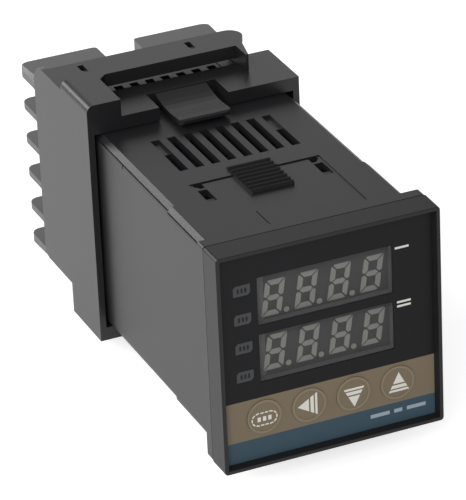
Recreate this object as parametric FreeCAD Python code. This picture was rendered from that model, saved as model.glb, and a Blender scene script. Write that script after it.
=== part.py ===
import FreeCAD, Part
import math
import os

# Panel-mounted temperature controller with its slide-on mounting collar.
# Millimetres. X runs right, Y runs back into the panel, Z runs up.
# The origin is the centre of the panel cut-out, in the plane of the flange's back face.

# Driving dimensions
FACE_SIZE = 48.0
FRONT_DEPTH = 9.0
DEPTH_BEHIND = 100.5
FLANGE_LIP = 1.8
BODY_STEP = 0.4
WALL = 1.5
FLANGE_THICKNESS = 3.1
FLANGE_INSET = 0.15
BLOCK_BASE = 5.5
FIN_LENGTH = 11.0

# Clearances
SLIDE_GAP = 0.2
RUN_GAP = 0.1
RACK_GAP = 0.15
KEY_GAP = 0.1
SEAT_GAP = 0.05

HALF_FACE = FACE_SIZE / 2
HALF_BODY = HALF_FACE - FLANGE_LIP
HALF_REAR_WIDTH = HALF_BODY - BODY_STEP
HALF_CAVITY = HALF_REAR_WIDTH - WALL
FRONT_Y = -FRONT_DEPTH
FRAME_BACK_Y = -FLANGE_THICKNESS
BLOCK_FLOOR_Y = DEPTH_BEHIND - FIN_LENGTH
BODY_LENGTH = BLOCK_FLOOR_Y - BLOCK_BASE

# The body is narrower behind a step, with a bevel along each long edge
STEP_Y = 19.3
REAR_BEVEL = 1.3
FRONT_BEVEL = 1.2
BEVEL_FALL = 1.0
BEVEL_FOOT = 1.6
BEVEL_SIDE = 0.1
GROOVE = 0.25
FLANGE_CORNER = 0.6

# Seam between the front frame and the flange
SEAM_WIDTH = 0.25
SEAM_DEPTH = 0.35

# Vent slots in two rows
SLOT_COUNT = 8
SLOT_PITCH = 3.54
SLOT_WIDTH = 1.9
SLOT_ROW_PITCH = BODY_LENGTH / 3 + 0.6
SLOT_LENGTH = SLOT_ROW_PITCH * 0.54
FIRST_ROW_Y = 33.0
SLOT_ROWS_Y = (FIRST_ROW_Y, FIRST_ROW_Y + SLOT_ROW_PITCH)
OUTER_SLOT_LENGTH = SLOT_LENGTH - 6.0
SLOT_SHELF_DEPTH = 0.7

# Sprung flap and ratchet rack
FLAP_FRONT_Y = 3.8
FLAP_END_Y = 26.4
FLAP_HALF_WIDTH = 14.3
FLAP_RECESS = 0.2
SLIT_WIDTH = 0.5
CATCH_WIDTH = 2.0
CATCH_X = FLAP_HALF_WIDTH - 0.8 * CATCH_WIDTH
CATCH_FRONT_Y = 18.0
CATCH_BACK_Y = 23.4
RACK_FRONT_Y = 17.0
RACK_PITCH = 1.63
RACK_TEETH = 8
RACK_HALF_WIDTH = 4.6
RACK_HEIGHT = 0.6
RACK_LAND = 0.4
FLAP_LINE_X = -7.1
FLAP_LINE_ENDS_Y = (3.0, 9.8)
REAR_RECESS_Y = BODY_LENGTH - 9.0

# Small moulding marks on the left side
SIDE_MARK_Y = 43.0
SIDE_MARK_WIDTH = 0.3
SIDE_MARK_HEIGHT = 1.1

# Front frame
FRONT_TAPER = 0.05
FRAME_CORNER = 0.7
FRAME_EDGE = 0.1
RIM_WIDTH = 0.85
RIM_DRAFT = 0.4
OVERLAY_DEPTH = 1.6
OVERLAY_THICKNESS = 0.4
PLATE_THICKNESS = 1.6
SKIRT_WALL = 1.0
SKIRT_BACK_Y = 6.0

OVERLAY_Y = FRONT_Y + OVERLAY_DEPTH
PLATE_Y = OVERLAY_Y + OVERLAY_THICKNESS
PLATE_BACK_Y = PLATE_Y + PLATE_THICKNESS
HALF_OVERLAY = HALF_FACE - RIM_WIDTH - RIM_DRAFT
SKIRT_HALF = HALF_CAVITY - RUN_GAP

# Keys in a row along the bottom of the printed sheet
KEY_NAMES = ("set", "shift", "down", "up")
KEY_SIDE_MARGIN = 8.245
KEY_LOW_MARGIN = 9.15
KEY_PITCH = 2 * (HALF_OVERLAY - KEY_SIDE_MARGIN) / (len(KEY_NAMES) - 1)
KEY_ROW_Z = KEY_LOW_MARGIN - HALF_OVERLAY
KEY_RADIUS = KEY_PITCH / 2 - 1.135
KEY_PROUD = 0.15
KEY_RING = 0.12
KEY_RING_WIDTH = 0.5
KEY_SHOULDER = KEY_RADIUS + 0.7
KEY_SHOULDER_THICKNESS = 0.6
KEY_STEM_RADIUS = 1.5
KEY_SIDES = 32
KEY_LIFT = 0.2

# Indicators at the left of the windows
LAMP_MARGIN = 2.775
LAMP_WIDTH = 3.75
LAMP_HEIGHT = 2.45
LAMP_CORNER = 0.5
LAMP_COUNT = 4
LAMP_TO_WINDOW = 1.325
LAMP_X = LAMP_MARGIN + LAMP_WIDTH / 2 - HALF_OVERLAY

# Display windows, one over the other between the lamps and the marks
WINDOW_RIGHT_MARGIN = 8.65
WINDOW_TOP_MARGIN = 5.65
WINDOW_SPACE = 2.0
KEY_TO_WINDOW = 4.0
WINDOW_LEFT = LAMP_X + LAMP_WIDTH / 2 + LAMP_TO_WINDOW
WINDOW_RIGHT = HALF_OVERLAY - WINDOW_RIGHT_MARGIN
WINDOW_WIDTH = WINDOW_RIGHT - WINDOW_LEFT
WINDOW_X = (WINDOW_LEFT + WINDOW_RIGHT) / 2
WINDOW_TOP = HALF_OVERLAY - WINDOW_TOP_MARGIN
WINDOW_BOTTOM = KEY_ROW_Z + KEY_RADIUS + KEY_TO_WINDOW
WINDOW_HEIGHT = (WINDOW_TOP - WINDOW_BOTTOM - WINDOW_SPACE) / 2
UPPER_WINDOW_Z = WINDOW_TOP - WINDOW_HEIGHT / 2
LOWER_WINDOW_Z = WINDOW_BOTTOM + WINDOW_HEIGHT / 2
LAMP_TOP_Z = WINDOW_TOP - 2.0
LAMP_PITCH = (LAMP_TOP_Z - WINDOW_BOTTOM - 2.1) / (LAMP_COUNT - 1)

# Display modules behind the windows, and their digits
MODULE_SIDE = 0.6
MODULE_EDGE = 0.5
MODULE_FRONT_Y = PLATE_BACK_Y
DIGIT_SHIFT_X = 0.3
UPPER_DIGIT_DROP = 0.85
LOWER_DIGIT_DROP = 0.25
DIGIT_COUNT = 4
DIGIT_PITCH = (WINDOW_WIDTH - 0.72) / DIGIT_COUNT
DIGIT_WIDTH = DIGIT_PITCH * 0.594
DIGIT_HEIGHT = WINDOW_HEIGHT * 0.7286
DIGIT_SLANT = math.tan(math.radians(9))
SEGMENT_WIDTH = 0.262 * DIGIT_WIDTH
SEGMENT_CUT = 0.55 * SEGMENT_WIDTH
SEGMENT_GAP = DIGIT_WIDTH * 0.0476
SEGMENT_PROUD = 0.12
POINT_RADIUS = 0.6
POINT_SPACE = 1.24
POINT_RISE = 0.5
POINT_SIDES = 12

# Boards
BOARD_THICKNESS = 1.6
DISPLAY_BOARD_Y = 1.5
DISPLAY_BOARD_HALF = SKIRT_HALF - SKIRT_WALL - 0.2
SIDE_BOARD_X = HALF_CAVITY - 1.3
SIDE_BOARD_HALF_Z = HALF_CAVITY - 1.8
SIDE_BOARD_END_Y = BODY_LENGTH - 4.0
BOARD_FACE_X = SIDE_BOARD_X - BOARD_THICKNESS
BOARD_START_Y = DISPLAY_BOARD_Y + BOARD_THICKNESS
HEADER_SIZE = 2.5
HEADER_HALF_LENGTH = 15.0
SPACER_Y = SIDE_BOARD_END_Y - 8.0
SPACER_DEPTH = 2.5
SPACER_BAR = 2.0
SPACER_BAR_Z = 14.0

# Switches under the keys, lamps and light guides
SWITCH_SIZE = 6.0
SWITCH_TOP_Y = -2.0
PLUNGER_TOP_Y = -3.0
PLUNGER_RADIUS = 1.7
PLUNGER_SINK = 0.7
SMALL_SIDES = 12
LAMP_CHIP = (1.6, 1.2)
GUIDE_SIZE = (1.8, 1.6)
LAMP_CHIP_DEPTH = 0.7

# Transformer on the left board: a steel core and a coil on its middle leg
CORE_LENGTH = 18.0
CORE_HALF_Z = 9.0
CORE_LEG = 5.2
CORE_OUTER_LEG = 2.6
CORE_LIFT = 1.0
CORE_END_X = -4.4
CORE_BAR = 3.0
COIL_END_X = -3.0
COIL_GAP = 0.2
COIL_CORNER = 0.9

# Heat sink and power transistor
SINK_PLATE = 1.6
SINK_FIN = 1.0
SINK_FIN_LENGTH = 4.0
SINK_FINS = 4
SINK_END_X = -6.4
SINK_HALF_Z = 11.0
TRANSISTOR_LIFT = 1.4
TRANSISTOR_TAB = 1.3
TRANSISTOR_DEPTH = 3.1
TRANSISTOR_Z = (-5.0, 4.0, 10.0)

# Capacitors on the left board: two in a row and one behind them, with the X where each can ends
CAN_RADII = (6.3, 5.0, 4.0)
CAN_Z = (-8.0, 9.0, 10.0)
CAN_END_X = (-2.4, -1.4, -5.4)
CAN_STEP = 10.0
CAN_SIDES = 20

# Relay and processor on the right board
RELAY_START_X = 1.9
RELAY_LOW_Z = -12.0
RELAY_LENGTH = 19.0
RELAY_HEIGHT = 15.0
RELAY_EDGE = 0.6
CHIP_SIZE = 10.0
CHIP_THICKNESS = 1.4
CHIP_DOT_RADIUS = 0.6
CHIP_DOT_INSET = 1.5

# Along each side board the parts share out the length that they leave free, as the spaces in front of them
TRANSISTOR_SHARE = 0.11
CORE_SHARE = 0.57
CANS_SHARE = 0.21
CHIP_SHARE = 0.38
RELAY_SHARE = 0.43
PARTS_START_Y = BOARD_START_Y + HEADER_SIZE
PARTS_LENGTH = SPACER_Y - PARTS_START_Y
SINK_DEPTH = TRANSISTOR_DEPTH + TRANSISTOR_TAB + SINK_PLATE + SINK_FIN_LENGTH
CANS_LENGTH = CAN_RADII[0] + CAN_STEP + CAN_RADII[2]
LEFT_FREE = PARTS_LENGTH - SINK_DEPTH - CORE_LENGTH - CANS_LENGTH
SINK_Y = PARTS_START_Y + TRANSISTOR_SHARE * LEFT_FREE + TRANSISTOR_DEPTH + TRANSISTOR_TAB
CORE_START_Y = SINK_Y + SINK_PLATE + SINK_FIN_LENGTH + CORE_SHARE * LEFT_FREE
CAN_ROW_Y = CORE_START_Y + CORE_LENGTH + CANS_SHARE * LEFT_FREE + CAN_RADII[0]
RIGHT_FREE = PARTS_LENGTH - CHIP_SIZE - RELAY_LENGTH
CHIP_START_Y = PARTS_START_Y + CHIP_SHARE * RIGHT_FREE
RELAY_START_Y = CHIP_START_Y + CHIP_SIZE + RELAY_SHARE * RIGHT_FREE

# Terminal block
BLOCK_HALF_X = HALF_BODY
BLOCK_HALF_Z = HALF_BODY - 1.0
BLOCK_DROP = 0.4
COLUMN_INNER_X = 4.3
INNER_WALL = 1.5
FIN_THICKNESS = 1.5
END_FIN_THICKNESS = 2.4
BAY_ROWS = 5
FIN_PITCH = (2 * BLOCK_HALF_Z - END_FIN_THICKNESS) / BAY_ROWS
FIN_CORNER = 2.2
FIN_INNER_CORNER = 0.9
PLUG_LENGTH = 8.0
PLUG_WALL = 1.0
CORNER_NEAR = (1.8, 1.2)
CORNER_FAR = (0.3, 0.3)

# Screws, washers and contact blades in the ten bays
SCREW_X = 13.0
END_BAY_HEIGHT = FIN_PITCH - (FIN_THICKNESS + END_FIN_THICKNESS) / 2
CLAMP_SIZE = END_BAY_HEIGHT - 0.45
CLAMP_THICKNESS = 0.8
CONTACT_HEIGHT = CLAMP_SIZE - 0.2
CONTACT_THICKNESS = 0.8
CONTACT_REACH = 4.0
BLADE_HALF_HEIGHT = 2.0
BLADE_START_Y = BODY_LENGTH - 8.0
BLADE_SLOT_Y = BODY_LENGTH - 14.0
SCREW_HEAD_RADIUS = CLAMP_SIZE / 2 - 0.1
SCREW_HEAD_HEIGHT = 2.0
SCREW_HEAD_SIDES = 20
SCREW_RADIUS = CLAMP_SIZE / 4
SCREW_SIDES = 10
SCREW_DEPTH = 3.6
CROSS_HALF = 1.6
CROSS_HALF_WIDTH = 0.3
CROSS_DEPTH = 0.8
CLAMP_Y = BLOCK_FLOOR_Y + CONTACT_THICKNESS
HEAD_Y = CLAMP_Y + CLAMP_THICKNESS

# Mounting collar, drawn where it sits on the case, and the same after a half turn about Y
COLLAR_FRONT_Y = BODY_LENGTH - 27.6
RING_DEPTH = 12.2
COLLAR_WALL = 1.4
RING_THICKNESS = 2.95
RAISED_STEP = 3.75
SHELF_STEP = 1.75
SHELF_THICKNESS = 1.4
INNER_HALF = HALF_BODY + SLIDE_GAP
COLLAR_HALF_X = INNER_HALF + COLLAR_WALL
LOW_Z = INNER_HALF + RING_THICKNESS
RAISED_Z = LOW_Z + RAISED_STEP
SHELF_Z = LOW_Z + SHELF_STEP
RACK_TOP_Z = HALF_BODY + RACK_HEIGHT
RING_BACK_Y = COLLAR_FRONT_Y + RING_DEPTH
SHELF_FRONT_Y = COLLAR_FRONT_Y + 14.6
SHELF_BACK_Y = COLLAR_FRONT_Y + 25.4
ARM_BACK_Y = COLLAR_FRONT_Y + 30.5
ARM_LOW_Z = 3.8 - INNER_HALF
ARM_TOP_CORNER = 4.9
ARM_LOW_CORNER = 2.0
HEEL_BACK_Y = COLLAR_FRONT_Y + 15.4
BLOCK_EDGE_X = 7.6 - COLLAR_HALF_X
RAISED_CORNER = 1.65
BRIDGE_FRONT_Y = COLLAR_FRONT_Y + 13.0
BRIDGE_END_X = COLLAR_HALF_X - 8.5
BRIDGE_HEIGHT = 2.9
BRIDGE_CORNER = 1.8
GUSSET_LENGTH = 5.2
GUSSET_TIP = 0.6
GUSSET_WIDTH = 2.0
LUG_RADIUS = 3.0
LUG_REACH = 2.4
HEEL_START_X = COLLAR_HALF_X - 8.2
HEEL_X = COLLAR_HALF_X - 5.4
HEEL_WEB = 1.1
LATCH_HOLES_X = (7.3 - COLLAR_HALF_X, COLLAR_HALF_X - 15.9)
LATCH_HOLE = (1.3, 3.5)
LATCH_HOLE_Y = SHELF_BACK_Y - 5.2
TONGUE_HALF_WIDTH = 5.8
TONGUE_GAP = 2.0
TONGUE_ROOT_Y = COLLAR_FRONT_Y + 7.2
TONGUE_TIP_Y = COLLAR_FRONT_Y - 6.0
TONGUE_LIP = 1.35
TONGUE_SAG = 0.75
TONGUE_TEETH = 2
TONGUE_CORNER = 0.9
CHANNEL_SIDE = 0.5


def box(x0, x1, y0, y1, z0, z1):
    return Part.makeBox(x1 - x0, y1 - y0, z1 - z0, FreeCAD.Vector(x0, y0, z0))


def side_box(side, x0, x1, y0, y1, z0, z1):
    edges = sorted((side * x0, side * x1))
    return box(edges[0], edges[1], y0, y1, z0, z1)


def square(half, y0, y1):
    return box(-half, half, y0, y1, -half, half)


def prism(points, direction):
    wire = Part.makePolygon([FreeCAD.Vector(*p) for p in points + points[:1]])
    return Part.Face(wire).extrude(FreeCAD.Vector(*direction))


def prism_x(points_yz, x0, x1):
    return prism([(x0, y, z) for y, z in points_yz], (x1 - x0, 0, 0))


def prism_y(points_xz, y0, y1):
    return prism([(x, y0, z) for x, z in points_xz], (0, y1 - y0, 0))


def prism_z(points_xy, z0, z1):
    return prism([(x, y, z0) for x, y in points_xy], (0, 0, z1 - z0))


def arc_points(cy, cz, radius, start, end, steps):
    turn = (end - start) / steps
    angles = [math.radians(start + turn * i) for i in range(steps + 1)]
    return [(cy + radius * math.cos(a), cz + radius * math.sin(a)) for a in angles]


def rod_y(x, z, radius, y0, y1, sides):
    return prism_y(arc_points(x, z, radius, 0, 360 - 360 / sides, sides - 1), y0, y1)


def rod_x(y, z, radius, x0, x1, sides):
    return prism_x(arc_points(y, z, radius, 0, 360 - 360 / sides, sides - 1), x0, x1)


def rounded_square(half, radius):
    inner = half - radius
    points = []
    for quarter, (side, up) in enumerate(((1, 1), (-1, 1), (-1, -1), (1, -1))):
        points += arc_points(side * inner, up * inner, radius, 90 * quarter, 90 * quarter + 90, 3)
    return points


def section_wire(points_xz, y):
    return Part.makePolygon([FreeCAD.Vector(x, y, z) for x, z in points_xz + points_xz[:1]])


def loft(sections):
    return Part.makeLoft([section_wire(points, y) for points, y in sections], True, True)


def half_turn(shape):
    turned = shape.copy()
    turned.rotate(FreeCAD.Vector(0, 0, 0), FreeCAD.Vector(0, 1, 0), 180)
    return turned


def both_sides(shapes):
    return shapes + [half_turn(s) for s in shapes]


def add(base, shapes):
    return base.fuse(shapes).removeSplitter()


def take(base, shapes):
    return base.cut(shapes)


def round_edges(shape, radius, wanted):
    edges = [e for e in shape.Edges if wanted(e)]
    return shape.makeFillet(radius, edges)


def cut_edges(shape, size, wanted):
    edges = [e for e in shape.Edges if wanted(e)]
    return shape.makeChamfer(size, edges)


def runs_along(edge, axis):
    start, end = edge.Vertexes[0].Point, edge.Vertexes[-1].Point
    along = end.sub(start)
    return along.Length > 1e-6 and abs(abs(along.normalize().dot(FreeCAD.Vector(*axis))) - 1) < 1e-6


def save(name, shape):
    shape.exportStep("parts/" + name + ".step")
    solids = shape.Solids
    volume = sum(s.Volume for s in solids)
    print(name, "solids", len(solids), "valid", shape.isValid(), "volume", round(volume, 1))


def key_x(index):
    return (index - (len(KEY_NAMES) - 1) / 2) * KEY_PITCH


def lamp_z(index):
    return LAMP_TOP_Z - index * LAMP_PITCH


# Housing

def bevelled_section(half_width, bevel):
    corner = [(half_width - bevel, HALF_BODY), (half_width - BEVEL_SIDE, HALF_BODY - BEVEL_FALL),
              (half_width, HALF_BODY - BEVEL_FOOT)]
    points = list(corner)
    points += [(x, -z) for x, z in reversed(corner)]
    points += [(-x, -z) for x, z in corner]
    points += [(-x, z) for x, z in reversed(corner)]
    return points


def parting_grooves():
    cuts = []
    for half, y0, y1 in ((HALF_BODY, 0.0, STEP_Y), (HALF_REAR_WIDTH, STEP_Y, BODY_LENGTH)):
        x, z = half - BEVEL_SIDE, HALF_BODY - BEVEL_FALL
        cuts.append(box(-x - GROOVE, -x + GROOVE, y0, y1, z - GROOVE / 2, z + GROOVE / 2))
    return cuts


def side_mark():
    top = HALF_BODY - BEVEL_FALL
    outside = HALF_REAR_WIDTH + 1
    return box(-outside, GROOVE - HALF_REAR_WIDTH, SIDE_MARK_Y, SIDE_MARK_Y + SIDE_MARK_WIDTH,
               top - SIDE_MARK_HEIGHT, top)


def vent_cuts():
    through = HALF_CAVITY - 1.0
    outside = HALF_BODY + 1.0
    cuts = []
    for row_y in SLOT_ROWS_Y:
        for index in range(SLOT_COUNT):
            x = (index - (SLOT_COUNT - 1) / 2) * SLOT_PITCH
            x0, x1 = x - SLOT_WIDTH / 2, x + SLOT_WIDTH / 2
            end_slot = index in (0, SLOT_COUNT - 1)
            length = OUTER_SLOT_LENGTH if end_slot else SLOT_LENGTH
            cuts.append(box(x0, x1, row_y, row_y + length, through, outside))
            if end_slot:
                shelf_z = HALF_BODY - SLOT_SHELF_DEPTH
                cuts.append(box(x0, x1, row_y, row_y + SLOT_LENGTH, shelf_z, outside))
    return cuts


def flap_cuts():
    through = HALF_CAVITY - 1.0
    outside = HALF_BODY + 1.0
    floor_z = HALF_BODY - FLAP_RECESS
    slit_x0, outer = RACK_HALF_WIDTH + 0.4, CATCH_X + CATCH_WIDTH / 2
    inner = outer - CATCH_WIDTH
    cuts = [box(-FLAP_HALF_WIDTH, FLAP_HALF_WIDTH, FLAP_FRONT_Y, FLAP_END_Y, floor_z, outside),
            box(-FLAP_HALF_WIDTH, FLAP_HALF_WIDTH, REAR_RECESS_Y, BODY_LENGTH + 1, floor_z, outside)]
    hook_y = CATCH_BACK_Y + 0.7
    for side in (-1, 1):
        cuts.append(side_box(side, slit_x0, outer, FLAP_END_Y - SLIT_WIDTH, FLAP_END_Y, through, outside))
        hook = [(side * outer, FLAP_END_Y), (side * inner, FLAP_END_Y), (side * inner, hook_y),
                (side * CATCH_X, hook_y), (side * outer, FLAP_END_Y - 2 * SLIT_WIDTH)]
        cuts.append(prism_z(hook, through, outside))
        cuts.append(side_box(side, inner, outer, CATCH_FRONT_Y, CATCH_BACK_Y, through, outside))
    start, end = FLAP_LINE_ENDS_Y
    cuts.append(box(FLAP_LINE_X, FLAP_LINE_X + GROOVE, start, end, floor_z - GROOVE, outside))
    return cuts


def ratchet_rack():
    root_z = HALF_BODY - FLAP_RECESS - 0.3
    tip_z = HALF_BODY + RACK_HEIGHT
    points = [(RACK_FRONT_Y, root_z), (RACK_FRONT_Y, HALF_BODY)]
    for tooth in range(RACK_TEETH):
        y = RACK_FRONT_Y + tooth * RACK_PITCH
        points.append((y + 0.3, tip_z))
        points.append((y + 0.3 + RACK_LAND, tip_z))
        points.append((y + RACK_PITCH, HALF_BODY))
    points.append((RACK_FRONT_Y + RACK_TEETH * RACK_PITCH, root_z))
    return prism_x(points, -RACK_HALF_WIDTH, RACK_HALF_WIDTH)


def housing():
    rear = prism_y(bevelled_section(HALF_REAR_WIDTH, REAR_BEVEL), STEP_Y, BODY_LENGTH)
    front = prism_y(bevelled_section(HALF_BODY, FRONT_BEVEL), FRAME_BACK_Y, STEP_Y)
    half_flange = HALF_FACE - FLANGE_INSET
    flange = prism_y(rounded_square(half_flange, FLANGE_CORNER), FRAME_BACK_Y + SEAM_WIDTH, 0.0)
    neck = prism_y(rounded_square(half_flange - SEAM_DEPTH, FLANGE_CORNER), FRAME_BACK_Y,
                   FRAME_BACK_Y + SEAM_WIDTH)
    shell = add(rear, [front, flange, neck])
    shell = take(shell, [square(HALF_CAVITY, FRAME_BACK_Y - 1, BODY_LENGTH + 1)])
    shell = take(shell, both_sides(vent_cuts() + flap_cuts() + parting_grooves()) + [side_mark()])
    return add(shell, both_sides([ratchet_rack()]))


# Front frame, sheet and windows

def window_box(centre_z, y0, y1, gap=0.0):
    half_w = WINDOW_WIDTH / 2 - gap
    half_h = WINDOW_HEIGHT / 2 - gap
    return box(WINDOW_X - half_w, WINDOW_X + half_w, y0, y1, centre_z - half_h, centre_z + half_h)


def lamp_box(index, width, height, y0, y1):
    z = lamp_z(index)
    return box(LAMP_X - width / 2, LAMP_X + width / 2, y0, y1, z - height / 2, z + height / 2)


def lamp_pad(index, gap, y0, y1):
    w, h, c = LAMP_WIDTH / 2 - gap, LAMP_HEIGHT / 2 - gap, LAMP_CORNER
    outline = [(w, c - h), (w, h), (c - w, h), (-w, h - c), (-w, -h), (w - c, -h)]
    return prism_y([(LAMP_X + x, lamp_z(index) + z) for x, z in outline], y0, y1)


def front_openings(y0, y1):
    cuts = [window_box(UPPER_WINDOW_Z, y0, y1), window_box(LOWER_WINDOW_Z, y0, y1)]
    cuts += [lamp_pad(i, 0.0, y0, y1) for i in range(LAMP_COUNT)]
    for index in range(len(KEY_NAMES)):
        cuts.append(rod_y(key_x(index), KEY_ROW_Z, KEY_RADIUS + KEY_GAP, y0, y1, KEY_SIDES))
    return cuts


def catch_arm(x):
    arm_half = CATCH_WIDTH / 2 - RUN_GAP
    end_y, hook_y = CATCH_BACK_Y - 0.4, CATCH_FRONT_Y + 0.3
    arm = box(x - arm_half, x + arm_half, SKIRT_BACK_Y - 1.0, end_y, SKIRT_HALF - SKIRT_WALL, SKIRT_HALF)
    hook_points = [(hook_y, SKIRT_HALF - 0.2), (hook_y, HALF_BODY - 0.5),
                   (hook_y + 1.2, HALF_BODY - 0.5), (end_y, SKIRT_HALF - 0.2)]
    return arm.fuse(prism_x(hook_points, x - arm_half, x + arm_half))


def front_bezel():
    half_front = HALF_FACE - FRONT_TAPER
    frame = loft([(rounded_square(half_front - FRAME_EDGE, FRAME_CORNER), FRONT_Y),
                  (rounded_square(half_front, FRAME_CORNER), FRONT_Y + FRAME_EDGE),
                  (rounded_square(HALF_FACE, FRAME_CORNER), FRAME_BACK_Y)])
    pocket_half = HALF_OVERLAY + SEAT_GAP
    rim_half = HALF_FACE - RIM_WIDTH
    rim = [(rim_half, rim_half), (-rim_half, rim_half), (-rim_half, -rim_half), (rim_half, -rim_half)]
    foot = [(math.copysign(pocket_half, x), math.copysign(pocket_half, z)) for x, z in rim]
    recess = loft([(rim, FRONT_Y - SEAT_GAP), (foot, OVERLAY_Y)])
    pocket = square(pocket_half, OVERLAY_Y - SEAT_GAP, PLATE_Y)
    back_room = square(HALF_BODY, PLATE_BACK_Y, FRAME_BACK_Y + 1)
    frame = take(frame, [recess, pocket, back_room])
    skirt = square(SKIRT_HALF, PLATE_BACK_Y - 0.2, SKIRT_BACK_Y)
    skirt = take(skirt, [square(SKIRT_HALF - SKIRT_WALL, PLATE_BACK_Y, SKIRT_BACK_Y + 1)])
    arms = [catch_arm(CATCH_X), catch_arm(-CATCH_X)]
    frame = add(frame, [skirt] + both_sides(arms))
    return take(frame, front_openings(PLATE_Y - 0.5, PLATE_BACK_Y + 0.5))


def front_overlay():
    sheet = square(HALF_OVERLAY, OVERLAY_Y, PLATE_Y)
    return take(sheet, front_openings(OVERLAY_Y - 1, PLATE_Y + 1))


def window_lenses():
    front, back = OVERLAY_Y + SEAT_GAP, MODULE_FRONT_Y - 2 * SEGMENT_PROUD
    lenses = [window_box(z, front, back, SEAT_GAP) for z in (UPPER_WINDOW_Z, LOWER_WINDOW_Z)]
    return Part.makeCompound(lenses)


def indicator_lenses():
    front = OVERLAY_Y + SEAT_GAP
    return Part.makeCompound([lamp_pad(i, SEAT_GAP, front, PLATE_BACK_Y) for i in range(LAMP_COUNT)])


# Keys and switches

SHOULDER_Y = PLATE_BACK_Y + KEY_LIFT


def key_cap(index):
    x, z, sides = key_x(index), KEY_ROW_Z, KEY_SIDES
    face_y = OVERLAY_Y - KEY_PROUD
    foot_y = SHOULDER_Y + KEY_SHOULDER_THICKNESS
    cap = rod_y(x, z, KEY_RADIUS, face_y, SHOULDER_Y, sides)
    ring = rod_y(x, z, KEY_RADIUS, face_y - KEY_RING, face_y, sides)
    ring = take(ring, [rod_y(x, z, KEY_RADIUS - KEY_RING_WIDTH, face_y - 1, face_y, sides)])
    shoulder = rod_y(x, z, KEY_SHOULDER, SHOULDER_Y, foot_y, sides)
    stem = rod_y(x, z, KEY_STEM_RADIUS, foot_y, PLUNGER_TOP_Y, SMALL_SIDES)
    return add(cap, [ring, shoulder, stem])


def switch_plunger(index):
    end_y = SWITCH_TOP_Y + PLUNGER_SINK
    return rod_y(key_x(index), KEY_ROW_Z, PLUNGER_RADIUS, PLUNGER_TOP_Y, end_y, SMALL_SIDES)


def switch_bases():
    bases = []
    half = SWITCH_SIZE / 2
    well_y = SWITCH_TOP_Y + 2 * PLUNGER_SINK
    for index in range(len(KEY_NAMES)):
        x = key_x(index)
        body = box(x - half, x + half, SWITCH_TOP_Y, DISPLAY_BOARD_Y, KEY_ROW_Z - half, KEY_ROW_Z + half)
        well = rod_y(x, KEY_ROW_Z, PLUNGER_RADIUS + RUN_GAP, SWITCH_TOP_Y - 1, well_y, SMALL_SIDES)
        bases.append(take(body, [well]))
    return Part.makeCompound(bases)


# Displays

def display_module(window_z):
    half_w, half_h = WINDOW_WIDTH / 2 + MODULE_SIDE, WINDOW_HEIGHT / 2 + MODULE_EDGE
    return box(WINDOW_X - half_w, WINDOW_X + half_w, MODULE_FRONT_Y, DISPLAY_BOARD_Y,
               window_z - half_h, window_z + half_h)


def segment_outlines():
    w, h, t, g, c = DIGIT_WIDTH, DIGIT_HEIGHT, SEGMENT_WIDTH, SEGMENT_GAP, SEGMENT_CUT
    middle = h / 2
    near, far = (c - g) / 2, (c + g) / 2
    top = [(c, h), (w - g, h), (w - t - g, h - t), (t + g, h - t), (far, h - near)]
    upper_left = [(0, h - c), (near, h - far), (t, h - t - g), (t, middle + t / 2 + g),
                  (t / 2, middle + g), (0, middle + t / 4 + g)]
    upper_right = [(w, h - g), (w - t, h - t - g), (w - t, middle + t / 2 + g),
                   (w - t / 2, middle + g), (w, middle + t / 4 + g)]
    centre = [(t / 2 + g, middle), (t + g, middle + t / 2), (w - t - g, middle + t / 2),
              (w - t / 2 - g, middle), (w - t - g, middle - t / 2), (t + g, middle - t / 2)]
    upper = [top, upper_left, upper_right]
    lower = [[(w - x, h - z) for x, z in outline] for outline in upper]
    return upper + [centre] + lower


def display_segments(digit_z):
    row_width = (DIGIT_COUNT - 1) * DIGIT_PITCH + DIGIT_WIDTH + DIGIT_SLANT * DIGIT_HEIGHT
    start_x = WINDOW_X + DIGIT_SHIFT_X - row_width / 2
    bottom = digit_z - DIGIT_HEIGHT / 2
    front = MODULE_FRONT_Y - SEGMENT_PROUD
    pieces = []
    for digit in range(DIGIT_COUNT):
        left = start_x + digit * DIGIT_PITCH
        for outline in segment_outlines():
            slanted = [(left + x + DIGIT_SLANT * z, bottom + z) for x, z in outline]
            pieces.append(prism_y(slanted, front, MODULE_FRONT_Y))
        if digit < DIGIT_COUNT - 1:
            point_x, point_z = left + DIGIT_WIDTH + POINT_SPACE, bottom + POINT_RISE
            pieces.append(rod_y(point_x, point_z, POINT_RADIUS, front, MODULE_FRONT_Y, POINT_SIDES))
    return Part.makeCompound(pieces)


# Boards and what they carry

def light_guides():
    width, height = GUIDE_SIZE
    end_y = DISPLAY_BOARD_Y - LAMP_CHIP_DEPTH
    return Part.makeCompound([lamp_box(i, width, height, PLATE_BACK_Y, end_y)
                              for i in range(LAMP_COUNT)])


def indicator_lamps():
    width, height = LAMP_CHIP
    start_y = DISPLAY_BOARD_Y - LAMP_CHIP_DEPTH
    return Part.makeCompound([lamp_box(i, width, height, start_y, DISPLAY_BOARD_Y)
                              for i in range(LAMP_COUNT)])


def side_board(side):
    half = SIDE_BOARD_HALF_Z
    return side_box(side, BOARD_FACE_X, SIDE_BOARD_X, BOARD_START_Y, SIDE_BOARD_END_Y, -half, half)


def board_headers():
    inner, end_y, half = BOARD_FACE_X - HEADER_SIZE, BOARD_START_Y + HEADER_SIZE, HEADER_HALF_LENGTH
    return Part.makeCompound([side_box(side, inner, BOARD_FACE_X, BOARD_START_Y, end_y, -half, half)
                              for side in (-1, 1)])


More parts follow.
